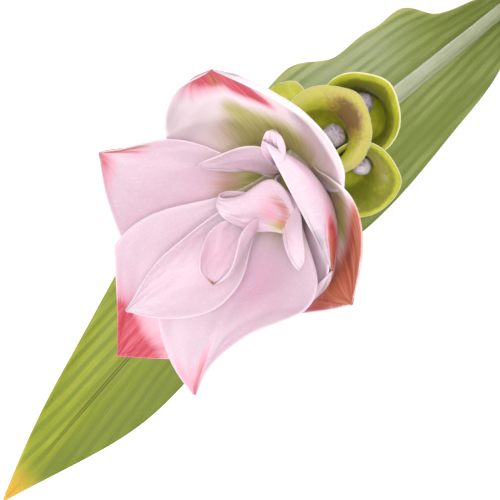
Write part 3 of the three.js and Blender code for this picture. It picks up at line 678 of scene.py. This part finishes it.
# The deep pink patches are partly the bracts' own deeper pink and partly painted shade in their folds
PATCHES = {
    "top": [
        (RED, 1.01, .2, .15, .6, 1.3), (RED, .85, -.12, .09, .12, 1.0), (RED, .75, -.2, .08, .08, .8),
        (RUST, .93, .12, .07, .2, .8), (GREEN, .68, .2, .12, .16, .55), (GREEN, .52, .1, .16, .34, .75),
        (GREEN, .32, 0, .19, .6, 1.1), (GREEN, .1, 0, .14, 2, 1.0)],
    "left": [
        (RED, .98, .35, .07, .7, .75), (RED, .86, -.4, .1, .12, .8), (RUST, .96, -.6, .07, .35, .9),
        (RUST, .86, -.8, .1, .25, .8), (GREEN, .92, -.55, .06, .2, 1.0),
        (GREEN, .1, 0, .26, 2, 1.2), (DEEP_PINK_AND_SHADE, .42, 0, .15, .5, .3), (RUST, .34, .1, .12, .3, .55)],
    "low": [(RED, 1.04, .1, .17, 3, 2.4), (RED, .92, -.7, .1, .5, 1.2), (GREEN, .1, 0, .18, 2, .8)],
    "bottom": [
        (RED, 1.03, .2, .12, .9, 1.0), (RED, .86, .02, .11, .13, .6), (RED, .92, -.8, .07, .16, .3),
        (GREEN, .1, 0, .16, 2, .8), (DEEP_PINK_AND_SHADE, .42, .2, .2, .6, .45)],
    "pale": [(GREEN, .1, 0, .2, 2, .8), (DEEP_PINK_AND_SHADE, .5, -.3, .2, .5, .45)],
    "right": [
        (RUST, .91, .05, .22, 1.0, 1.3), (RED, .8, .5, .09, .35, 1.0), (RED, .86, -.75, .1, .4, .9),
        (RUST, .8, .7, .07, .3, .6), (GREEN, .66, .3, .12, .25, .6), (GREEN, .6, .7, .1, .4, .6),
        (GREEN, .2, 0, .3, 2, .9)],
    "strap": [
        (RED, .95, .24, .08, .2, .85), (RUST, .99, .2, .05, .2, 1.0), (RED, .98, .24, .05, .12, .5),
        (GREEN, .1, 0, .16, 2, .8)],
    "cradle": [(RUST, 1.01, 0, .04, 1, .45), (GREEN, .05, 0, .14, 2, .6), (DEEP_PINK_AND_SHADE, .45, .2, .2, .5, .25)],
    "heart": [(RUST, 1.01, 0, .05, 1.5, .9), (DEEP_PINK_AND_SHADE, .7, 0, .4, 1.2, .3), (GREEN, .03, 0, .1, 2, .4)],
    "hood": [
        (RED, .86, -.35, .09, .4, .5), (RUST, .95, -.2, .06, .45, .7), (RUST, .88, -.65, .09, .2, .5),
        (GREEN, .93, 0, .07, .4, .9), (GREEN, .05, 0, .25, 2, .7)],
    "tongue": [(GREEN, .05, 0, .2, 2, .6)],
    "strip": [(GREEN, .05, 0, .2, 2, .6), (DEEP_PINK_AND_SHADE, .5, 0, .4, 2, .25)],
    "curl": [(GREEN, .1, 0, .3, 2, .7), (DEEP_PINK_AND_SHADE, .5, 0, .3, 2, .2)],
}
# How deep the pink is all over a bract, where it isn't the usual amount, and its share at the foot
USUAL_PINK = 0.3
# Painted light: the top bract has no deep pink, so it is pale all over; painted shade: the hood has more
OWN_PINK = {
    "top": 0.0, "low": 0.35, "strip": 0.25, "pale": 0.2, "right": 0.1, "hood": 0.4, "heart": 0.2,
}
# Painted light: a low share at the foot leaves each bract paler there
FOOT_PINK = 0.3
# The core that the crown grows on
CORE_PROFILE = [(4.6, 46.4), (4.6, 70), (3.6, 77), (2.6, 83), (0.6, 84)]
CORE_TINT = (0, 0.9, 0, 0.3)
SPIKE_SIDES = 32


def bract_tint(name, grow):
    """How red, green, rusty and deep pink a bract is at each of its points, the deep pink holding painted
    shade and its lack at the foot painted light.
    """
    v = grow[:, 0]
    u = grow[:, 1]
    tint = np.zeros((len(v), 4))
    pink = OWN_PINK.get(name, USUAL_PINK)
    tint[:, DEEP_PINK_AND_SHADE] = pink * (FOOT_PINK + (1 - FOOT_PINK) * smooth(0.1, 0.8, v))
    for colour, at_v, at_u, reach_v, reach_u, amount in PATCHES[name]:
        away = ((v - at_v) / reach_v) ** 2 + ((u - at_u) / reach_u) ** 2
        tint[:, colour] += amount * np.exp(-away)
    return tint


def build_crown():
    look = bract_look()
    for number, (name, b) in enumerate(CROWN.items()):
        points, faces, values = blade(b, BRACT, number)
        values["tint"] = bract_tint(name, values["grow"])
        make_piece("bract_" + name, to_spike(points), faces, values, look, "coma")
    turned(CORE_PROFILE, SPIKE_SIDES, "crown_core", look, "coma", to_spike, CORE_TINT)


# Green cups: deep bowls with rolled-out lips, and in four of them a bud on a short stalk.
# A cup's foot is at azimuth az and height rise, and it opens at an angle lean from upright
# towards face. turn is how steeply its wall climbs from foot to lip, and near narrows its back.
# A bud's place is (towards the cup's tip, to its side, up out of it) from the cup's foot.
# brown is (amount, middle, half width) of the mottling along the lip, in degrees from the tip.
# USUAL_CUP holds where a cup says nothing else.

ROLLED_LIP = [0, 30, 62, 84, 80, 26, -60]
DEEP_BOWL = [0, 30, 58, 76, 80, 66, 10]
OPEN_BOWL = [0, 28, 52, 68, 68, 44, -15]
# Each cup also gives the amount of dark green painted shade down its inner wall
USUAL_CUP = dict(near=0.45, turn=ROLLED_LIP, brown=(0.3, 0, 60), wall_shade=0.3, creamy=0.35)
CUPS = {
    "cup_1": dict(az=316, rise=41.5, face=277, lean=37, long=29, near=.36,
                  bud=4.1, bud_at=(4, -2, 9), brown=(1.3, -12, 45), wall_shade=0, creamy=1.1),
    "cup_2": dict(az=289, rise=16, face=274, lean=24, long=30.3, near=.36, turn=DEEP_BOWL,
                  bud=3.8, bud_at=(5.5, 2.5, 9.5), brown=(.4, 20, 60), wall_shade=1.0),
    "cup_3": dict(az=183.5, rise=36, face=216, lean=34, long=24.8, near=.5, turn=OPEN_BOWL,
                  bud=3.2, bud_at=(6, 2.5, 9), brown=(.45, 30, 60), wall_shade=1.0),
    "cup_4": dict(az=20, rise=32, face=5, lean=40, long=28.5, bud=3.5, bud_at=(3, 0, 8)),
    "cup_5": dict(az=105, rise=31, face=100, lean=40, long=27),
    "cup_6": dict(az=40, rise=10, face=44, lean=38, long=25),
    "cup_7": dict(az=135, rise=12, face=138, lean=38, long=25),
}
CUP_THICK = 1.1
CUP_RIM_THICKNESS = 0.55
CUP_SIDES = 72
CUP_RINGS = 44
# A cup's foot lies this far from the spike's axis, with a small flat there
CUP_ROOT = 4.2
CUP_FLAT_R = 0.3
# Past the wall's share of the length the lip begins, short at the back and long at the tip
CUP_WALL = 0.62
SHORTEST_LIP = 0.35
LIP_POWER = 0.7
POINT_LENGTH = 1.3
POINT_WIDTH = 0.32
BUMP_HEIGHT = 0.22
BUMP_REACH = 6.6
CUP_SEED_SPREAD = 0.11
CUP_SPAN = 7
RACHIS_PROFILE = [(3.7, -6), (4.2, -5), (4.6, -3), (4.6, 46)]


def cup_frame(c):
    """The cup's lowest point, the direction of its tip, its side and its opening direction."""
    lean = c["lean"] * RAD
    out = unit(c["face"])
    opening = math.cos(lean) * UP + math.sin(lean) * out
    tip = math.cos(lean) * out - math.sin(lean) * UP
    return CUP_ROOT * unit(c["az"]) + c["rise"] * UP, tip, np.cross(opening, tip), opening


def cup_outline(c, s, phi):
    """Radius and height of a cup's middle surface, for s from foot to lip and phi round it."""
    outer = (1 + np.cos(phi)) / 2
    middle = (s[1:] + s[:-1]) / 2
    lip_step = SHORTEST_LIP + (1 - SHORTEST_LIP) * outer ** LIP_POWER
    step = c["long"] / CUP_RINGS * np.where(middle < CUP_WALL, 1, lip_step)
    turn = along_curve(c["turn"], middle[:, 0])[:, None] * RAD
    flat = np.full((1, CUP_SIDES), CUP_FLAT_R)
    r = np.vstack([flat, CUP_FLAT_R + np.cumsum(np.cos(turn) * step, 0)])
    z = np.vstack([np.zeros((1, CUP_SIDES)), np.cumsum(np.sin(turn) * step, 0)])
    from_tip = np.angle(np.exp(1j * phi))
    r = r * (1 - c["near"] * (1 - outer) ** 2)
    r = r + POINT_LENGTH * np.exp(-(from_tip / POINT_WIDTH) ** 2) * smooth(0.7, 1, s)
    wave = 0.5 * np.sin(3 * phi + c["az"]) + 0.35 * np.sin(5 * phi + c["rise"])
    return r, z + wave * smooth(0.5, 1, s)


def cup_points(c, s, phi, r, z):
    """The outer and then the inner points of a cup, with soft bumps on its wall."""
    foot, tip, side, opening = cup_frame(c)
    x = (r * np.cos(phi))[..., None]
    y = (r * np.sin(phi))[..., None]
    grid = foot + x * tip + y * side + z[..., None] * opening
    normal = normals_of(np.concatenate([grid[:, -1:], grid, grid[:, :1]], 1))[:, 1:-1]
    place = BUMP_REACH * (s + 0.3)
    bumps = BUMP_HEIGHT * ripple(place * np.cos(phi), place * np.sin(phi), int(c["az"]))
    grid = grid + normal * (bumps * smooth(0.3, 0.6, s))[..., None]
    thick = CUP_THICK * (CUP_RIM_THICKNESS + (1 - CUP_RIM_THICKNESS) * smooth(0, 0.12, 1 - s))
    half = normal * thick[..., None] / 2
    return np.concatenate([(grid + half).reshape(-1, 3), (grid - half).reshape(-1, 3)])


def cup_faces(rings, sides):
    """Faces of the two sides of a cup, of its rim and of its foot."""
    size = rings * sides
    wall = ring_faces(rings, sides, closed_ends=False)
    index = np.arange(size).reshape(rings, sides)
    after = np.roll(index, -1, 1)
    rim = np.stack([index[-1], after[-1], after[-1] + size, index[-1] + size], -1)
    faces = wall + [[i + size for i in f[::-1]] for f in wall] + [list(f) for f in rim]
    return faces + [list(index[0][::-1]), list(index[0] + size)]


def cup_values(c, s, phi, r):
    """Surface values of a cup: tint is (creamy lip, brown mottling, pale rim, painted shade on the wall).
    """
    amount, centre, width = c["brown"]
    away = np.angle(np.exp(1j * (phi - centre * RAD))) / (width * RAD)
    on_lip = smooth(0.56, 0.7, s) * (1 - smooth(0.84, 0.97, s))
    brown = amount * np.exp(-away ** 2) * on_lip
    # Painted shade down the inner wall, between the foot and the lip
    wall_shade = c["wall_shade"] * smooth(0.3, 0.5, s) * (1 - smooth(0.9, 0.985, s))
    cream = c["creamy"] * smooth(0.7, 0.95, s)
    rim = smooth(0.975, 0.995, s)

    def rows(*columns):
        return np.stack([np.tile(np.broadcast_to(k, r.shape).ravel(), 2) for k in columns], -1)

    return {
        "grow": rows(s, phi / math.pi - 1, c["az"] * CUP_SEED_SPREAD),
        "span": rows(s * c["long"] + CUP_SPAN * np.cos(phi), np.sin(phi) * r, 0.0),
        "tint": rows(cream, brown, rim, wall_shade),
    }


def build_cups():
    look = cup_look()
    s = np.linspace(0, 1, CUP_RINGS + 1)[:, None]
    phi = circle(CUP_SIDES)[None, :]
    one_cup = cup_faces(CUP_RINGS + 1, CUP_SIDES)
    points, faces, rows = [], [], []
    for number, own in enumerate(CUPS.values()):
        c = {**USUAL_CUP, **own}
        r, z = cup_outline(c, s, phi)
        points.append(cup_points(c, s, phi, r, z))
        faces += [[i + number * len(points[0]) for i in f] for f in one_cup]
        rows.append(cup_values(c, s, phi, r))
    points = to_spike(np.concatenate(points))
    values = {key: np.concatenate([row[key] for row in rows]) for key in rows[0]}
    make_piece("green_cups", points, faces, values, look, "green_bracts")
    turned(RACHIS_PROFILE, SPIKE_SIDES, "rachis", look, "green_bracts", to_spike)


# Buds, wrinkled, each on a short stalk that stands in its cup

BUD_SIDES = 48
BUD_RINGS = 30
# The stalk starts part of the way out from the cup's foot and ends just under the bud
STALK_FROM = 0.55
STALK_R = 1.2
STALK_TOP = 1.02
# The bud is a ball, stretched along the stalk and open where the stalk goes in
BUD_STRETCH = 1.1
BUD_PART = 0.93
BUD_TIP_R = 0.05
FOLD_DEPTH = 0.09
FOLD_TURNS = 1.5
FOLD_CLIMB = 1.6
BUD_SEED_STEP = 2.2


def bud(c, number):
    """The rings of a bud and its stalk, and their surface values."""
    radius = c["bud"]
    foot, tip, side, opening = cup_frame(c)
    out, aside, up = c["bud_at"]
    base = foot + STALK_FROM * (out * tip + aside * side)
    belly = foot + out * tip + aside * side + up * opening - base
    height = np.linalg.norm(belly)
    axis = belly / height
    across = tip - axis * (tip @ axis)
    across /= np.linalg.norm(across)
    other = np.cross(axis, across)
    polar = math.pi * (1 - np.linspace(0, 1, BUD_RINGS)) * BUD_PART
    r = np.concatenate([[STALK_R, STALK_R], np.maximum(radius * np.sin(polar), BUD_TIP_R)])
    r[2] = STALK_R
    bud_z = height + radius * BUD_STRETCH * np.cos(polar)
    z = np.concatenate([[0.0, height - radius * STALK_TOP], bud_z])
    phi = circle(BUD_SIDES)[None, :]
    climb = np.linspace(0, 2, len(r))[:, None]
    wrinkle = np.abs(np.sin(FOLD_TURNS * phi + FOLD_CLIMB * climb + number)) ** 0.6
    folds = 1 - FOLD_DEPTH * wrinkle * (r[:, None] > STALK_R + 0.3)
    x = (r[:, None] * folds * np.cos(phi))[..., None]
    y = (r[:, None] * folds * np.sin(phi))[..., None]
    rings = base + x * across + y * other + z[:, None, None] * axis
    v = np.repeat(np.linspace(0, 1, len(r)), BUD_SIDES)
    u = np.tile(np.cos(phi[0]), len(r))
    return rings, np.stack([v, u, np.full_like(v, BUD_SEED_STEP * number)], -1)


def build_buds():
    look = bud_look()
    for number, c in enumerate(c for c in CUPS.values() if "bud" in c):
        name = "bud_%d" % (number + 1)
        rings, grow = bud(c, number)
        faces = ring_faces(len(rings), BUD_SIDES)
        make_piece(name + "_fine", to_spike(rings.reshape(-1, 3)), faces, {"grow": grow}, look, name)


# Leaves: a sheath wrapped round the stem, a channelled stalk and a long arching blade

LEAF = dict(
    rise=77, thick=0.9, across=20, along=180, first_seed=80,
    wave=1.8, waves=4.6, phase=0.15, crease=0.9, pucker=0.5)
LEAVES = {
    "leaf_1": dict(
        az=90, root=5, long=540, half=[13, 12, 7.5, 15, 29.5, 36.5, 29.5, 20, 0.6],
        lean=[0, 0, 3, 8, 18, 34, 46, 53, 67], roll=[300, 280, 180, 110, 70, 50, 40, 40, 40],
        drift=[0, 0, 0, 0, 1, 0, 7.5, 9.5, 7], skew=[0, 0, 0, .1, -.05, -.08, -.11, .09, 0],
        margin=[(0, 0), (.36, 0), (.39, .5), (.445, -1.7), (.477, 4.3), (.515, -.5), (.56, -4.2),
                (.6, 2.8), (.64, 0), (1, 0)]),
    "leaf_2": dict(
        az=205, root=7, long=410, half=[18.3, 16, 10, 17, 25, 28, 25, 16, 0.6],
        lean=[0, 0, 9, 24, 38, 52, 64, 74, 82], roll=[300, 260, 150, 90, 60, 45, 40, 40, 40],
        drift=[0, 0, -6, -10]),
    "leaf_3": dict(
        az=335, root=9, long=360, half=[23.5, 19, 11, 18, 25, 27, 24, 15, 0.6],
        lean=[0, 0, 15, 32, 46, 60, 72, 80, 86], roll=[300, 240, 140, 80, 60, 45, 40, 40, 40],
        drift=[0, 0, 6, 12]),
    "leaf_4": dict(
        az=262, root=11, long=250, half=[28.8, 22, 12, 15, 20, 22, 20, 13, 0.6],
        lean=[0, 0, 20, 36, 50, 62, 72, 80, 86], roll=[300, 230, 130, 80, 60, 45, 40, 40, 40],
        drift=[0, 0, 4, 8]),
}


def build_leaves():
    look = leaf_look()
    for number, (name, b) in enumerate(LEAVES.items()):
        points, faces, values = blade(b, LEAF, number)
        make_piece(name + "_fine", points, faces, values, look, name)


# Stem: round and straight, turned back a little at its head to meet the spike

STEM_FOOT_Z = 77
STEM_TOP_Z = 440
STEM_BEND_Z = 340
STEM_BEND = 60
STEM_R = 3.2
STEM_SIDES = 36
STEM_RINGS = 120
STEM_RIDGES = 7
RIDGE_HEIGHT = 0.05
SWELL_HEIGHT = 0.04
SWELL_PACE = 0.11
STEM_SEED = 5.1


def build_stem():
    z = np.linspace(STEM_FOOT_Z, STEM_TOP_Z, STEM_RINGS)[:, None]
    bent = np.clip((z - STEM_BEND_Z) / STEM_BEND, 0, 1)
    lift = (z - SPIKE_Z) * math.tan(SPIKE_TILT * RAD) * bent
    phi = circle(STEM_SIDES)[None, :]
    r = STEM_R + RIDGE_HEIGHT * np.sin(STEM_RIDGES * phi) + SWELL_HEIGHT * np.sin(z * SWELL_PACE)
    grid = np.stack([r * np.cos(phi), lift + r * np.sin(phi), z + 0 * phi], -1)
    v = np.repeat(np.linspace(0, 1, STEM_RINGS), STEM_SIDES)
    u = np.tile(np.cos(phi[0]), STEM_RINGS)
    along = np.repeat(z[:, 0], STEM_SIDES)
    across = np.tile(phi[0] * STEM_R, STEM_RINGS)
    values = {
        "grow": np.stack([v, u, np.full_like(v, STEM_SEED)], -1),
        "span": np.stack([along, across, np.zeros_like(v)], -1),
    }
    faces = ring_faces(STEM_RINGS, STEM_SIDES)
    make_piece("scape_fine", grid.reshape(-1, 3), faces, values, stem_look(), "scape")


# Pot: its outside from the foot up, the collar, the rim and down its inside

POT_PROFILE = [
    (0.5, 0), (40, 0), (42.4, 0.3), (43.6, 1.2), (44.2, 2.6), (46.5, 17), (50, 39), (53.5, 61), (56.6, 81),
    (57, 83.4), (57.8, 84.4), (60.6, 84.8), (61.7, 85.6), (62.1, 87), (62.6, 97), (62.9, 106.4),
    (62.5, 108.6), (61.4, 109.7), (60, 110), (58.9, 109.8), (57.9, 108.9), (57.4, 107), (56.2, 100),
    (49, 58), (40.6, 8.4), (38.2, 6), (0.5, 6),
]
POT_SIDES = 128


def build_pot():
    turned(POT_PROFILE, POT_SIDES, "pot_fine", clay_look(), "pot")


# Soil: a crumbly bed round the sheaths, with scattered crumbs, bark and perlite

HOLE_R = 12.4
HOLE_FLOOR = 77.0
SOIL_EDGE_R = 55.0
SOIL_FOOT_R = 40.0
SOIL_FOOT_Z = 9.0
SOIL_Z = 95.2
SOIL_RINGS = 46
SOIL_SIDES = 160
SOIL_SEED = 7
# The bed's roughness, as (height, waves to the millimetre, seed), its finest height, and the
# strip along the pot in which it fades
SOIL_WAVES = [(0.9, 0.12, 5), (0.55, 0.45, 6)]
SOIL_GRIT = 0.35
SOIL_FADE = 3
# Grains lie between these radii
GRAINS = 900
GRAIN_NEAREST = 14.5
GRAIN_FARTHEST = 53
# Kinds of grain, as (upper end of its draw, surface value, smallest, largest, proportions)
CRUMB = (0, 0, 0)
BARK = (1, 0, 0)
PERLITE = (0, 1, 0)
GRAIN_KINDS = [
    (0.70, CRUMB, 0.5, 1.5, (1, 0.9, 0.7)),
    (0.90, BARK, 1.0, 2.4, (1.5, 0.7, 0.4)),
    (1.00, PERLITE, 0.7, 1.5, (1, 1, 0.85)),
]
# Spin and tilt are in radians
MOST_SPIN = 6.28
MOST_TILT = 0.5
LEAST_UNEVEN = 0.75
MOST_UNEVEN = 1.2
# A grain's middle lies this far over the bed, and a share of its own height more
GRAIN_LIFT = 0.1
GRAIN_RISE = 0.3
# A grain's plain form has two poles and two belts of five points
BELT = 5
BELT_STEP = 72 * RAD
BELT_R = 0.89
BELT_Z = 0.45


def soil_bed(rng):
    """Rings of the bed: the hole's foot, the rough top from the hole out to the edge, the bottom."""
    phi = circle(SOIL_SIDES)
    r, a = np.meshgrid(np.linspace(HOLE_R, SOIL_EDGE_R, SOIL_RINGS), phi, indexing="ij")
    x = r * np.cos(a)
    y = r * np.sin(a)
    rough = sum(height * ripple(x * waves, y * waves, seed) for height, waves, seed in SOIL_WAVES)
    rough += SOIL_GRIT * rng.uniform(-1, 1, x.shape)
    top = np.stack([x, y, SOIL_Z + rough * smooth(0, SOIL_FADE, SOIL_EDGE_R + 0.4 - r)], -1)
    ring = np.stack([np.cos(phi), np.sin(phi)], -1)
    hole = np.column_stack([HOLE_R * ring, np.full(SOIL_SIDES, HOLE_FLOOR)])
    foot = np.column_stack([SOIL_FOOT_R * ring, np.full(SOIL_SIDES, SOIL_FOOT_Z)])
    return [hole, *top, foot]


def grain_form():
    """Points and faces of a grain's plain form."""
    turns = np.arange(BELT) * BELT_STEP
    points = [(0, 0, 1), (0, 0, -1)]
    for angles, z in ((turns, BELT_Z), (turns + BELT_STEP / 2, -BELT_Z)):
        points += [(math.cos(a) * BELT_R, math.sin(a) * BELT_R, z) for a in angles]
    faces = []
    for here in range(BELT):
        high, next_high = 2 + here, 2 + (here + 1) % BELT
        low, next_low = high + BELT, next_high + BELT
        faces += [(0, high, next_high), (high, low, next_high), (next_high, low, next_low)]
        faces.append((1, next_low, low))
    return np.array(points), np.array(faces)


def build_soil():
    rng = np.random.default_rng(SOIL_SEED)
    rings = soil_bed(rng)
    points = [np.concatenate(rings)]
    faces = [f[::-1] for f in ring_faces(len(rings), SOIL_SIDES)]
    kinds = [np.zeros((len(rings) * SOIL_SIDES, 3))]
    form, form_faces = grain_form()
    for number in range(GRAINS):
        radius = math.sqrt(rng.uniform(GRAIN_NEAREST ** 2, GRAIN_FARTHEST ** 2))
        a = rng.uniform(0, TURN_ROUND)
        pick = rng.uniform()
        _, kind, smallest, largest, proportions = next(g for g in GRAIN_KINDS if pick < g[0])
        size = rng.uniform(smallest, largest) * np.array(proportions)
        spin = Matrix.Rotation(rng.uniform(0, MOST_SPIN), 3, "Z")
        tilt = Matrix.Rotation(rng.uniform(-MOST_TILT, MOST_TILT), 3, "X")
        uneven = form * rng.uniform(LEAST_UNEVEN, MOST_UNEVEN, (len(form), 1))
        z = SOIL_Z + GRAIN_LIFT + GRAIN_RISE * size[2]
        place = np.array([radius * math.cos(a), radius * math.sin(a), z])
        points.append((uneven * size) @ np.array(spin @ tilt).T + place)
        faces += [list(f) for f in form_faces + len(points[0]) + number * len(form)]
        kinds.append(np.tile(kind, (len(form), 1)))
    values = {"grow": np.concatenate(kinds)}
    make_piece("soil_fine", np.concatenate(points), faces, values, soil_look(), "soil")


# Floor, in metres

FLOOR_CORNERS = [(-4, -4, 0), (4, -4, 0), (4, 6, 0), (-4, 6, 0)]


def build_floor():
    mesh = bpy.data.meshes.new("floor")
    mesh.from_pydata(FLOOR_CORNERS, [], [(0, 1, 2, 3)])
    mesh.materials.append(floor_look())
    floor = bpy.data.objects.new("floor", mesh)
    bpy.context.scene.collection.objects.link(floor)


# Camera: above the bloom and in front of it, turned so that the stem runs to the upper right

ELEVATION = 48 * RAD
TURN = 41 * RAD
FOCAL_PIXELS = 900.0
PICTURE = 500
SPIKE_PIXEL = (376, 112)
DEPTH = 0.325
SENSOR = 36
NEAREST = 0.01


def set_camera():
    forward = Vector((0, math.cos(ELEVATION), -math.sin(ELEVATION)))
    down_stem = Vector((0, -math.sin(ELEVATION), -math.cos(ELEVATION)))
    level = Vector((1, 0, 0))
    right = -math.sin(TURN) * level + math.cos(TURN) * down_stem
    above = math.cos(TURN) * level + math.sin(TURN) * down_stem
    across = (SPIKE_PIXEL[0] - PICTURE / 2) / FOCAL_PIXELS
    down = (SPIKE_PIXEL[1] - PICTURE / 2) / FOCAL_PIXELS
    place = Vector((0, 0, SPIKE_Z * MM)) - DEPTH * (forward + across * right - down * above)
    camera = bpy.data.objects.new("camera", bpy.data.cameras.new("camera"))
    bpy.context.scene.collection.objects.link(camera)
    camera.data.sensor_width = SENSOR
    camera.data.lens = SENSOR * FOCAL_PIXELS / PICTURE
    camera.data.clip_start = NEAREST
    camera.matrix_world = Matrix((
        (right.x, above.x, -forward.x, place.x),
        (right.y, above.y, -forward.y, place.y),
        (right.z, above.z, -forward.z, place.z),
        (0, 0, 0, 1),
    ))
    bpy.context.scene.camera = camera


# Light: a bright even room and three large soft lamps, as (place, size, power) in metres and watts

ROOM_STRENGTH = 0.62
LAMP_AIM = Vector((0, 0, 0.45))
LAMPS = {
    "key": ((2.0, -0.4, 2.6), 0.7, 6),
    "front": ((-0.1, -1.75, 2.85), 1.2, 49),
    "back": ((0.0, 2.4, 2.2), 1.2, 43),
}


def set_light():
    room = bpy.data.worlds.new("room")
    bpy.context.scene.world = room
    room.use_nodes = True
    background = room.node_tree.nodes["Background"]
    background.inputs["Color"].default_value = (1, 1, 1, 1)
    background.inputs["Strength"].default_value = ROOM_STRENGTH
    for name, (place, size, power) in LAMPS.items():
        lamp = bpy.data.objects.new(name, bpy.data.lights.new(name, "AREA"))
        lamp.data.size = size
        lamp.data.energy = power
        lamp.location = place
        lamp.rotation_euler = (LAMP_AIM - Vector(place)).to_track_quat("-Z", "Y").to_euler()
        bpy.context.scene.collection.objects.link(lamp)
    bpy.context.scene.view_settings.view_transform = "Standard"


build_crown()
build_cups()
build_buds()
build_leaves()
build_stem()
build_pot()
build_soil()
build_floor()
set_camera()
set_light()
